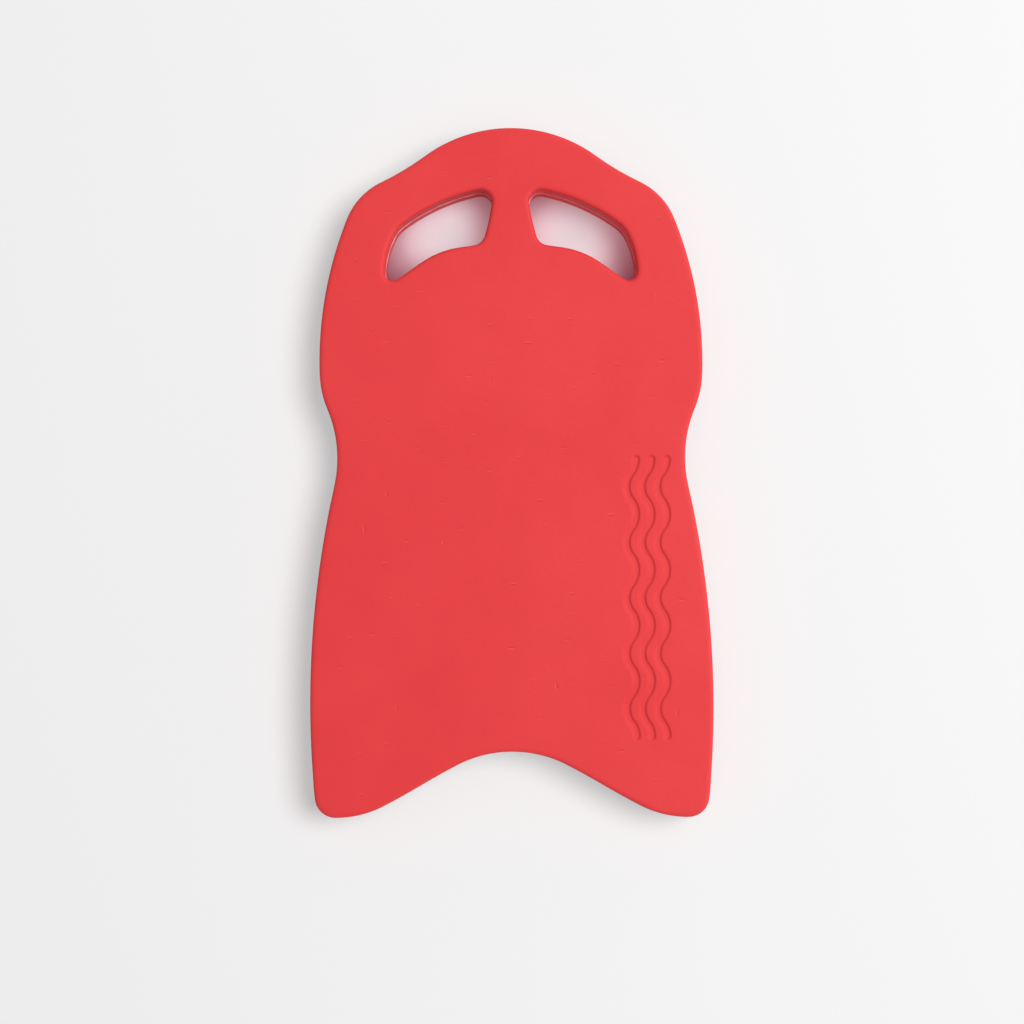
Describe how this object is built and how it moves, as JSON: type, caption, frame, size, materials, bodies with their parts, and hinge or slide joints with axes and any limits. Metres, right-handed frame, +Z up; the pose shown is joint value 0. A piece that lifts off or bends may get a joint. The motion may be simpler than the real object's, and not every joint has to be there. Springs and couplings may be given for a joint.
{
  "type": "swimming kickboard",
  "caption": "Flat foam kickboard with a rounded nose, waisted sides, a notched tail and slanted hand holes, laminated from foam sheets.",
  "frame": {"origin": "on the floor under the middle of the board, halfway along and halfway across", "axes": "+X across the board, towards the side with the wave pattern; +Y along the board, towards the nose with the hand holes; +Z up, out of the patterned face"},
  "size_m": [0.2692, 0.46, 0.032],
  "materials": {
    "foam": "closed-cell EVA foam with a fine-grained matt skin, red",
    "bond": "cured contact adhesive, matt pale pink"
  },
  "bodies": {
    "root": {"lower_foam_sheet": "foam", "adhesive_layer": "bond", "upper_foam_sheet": "foam"}
  },
  "joints": []
}
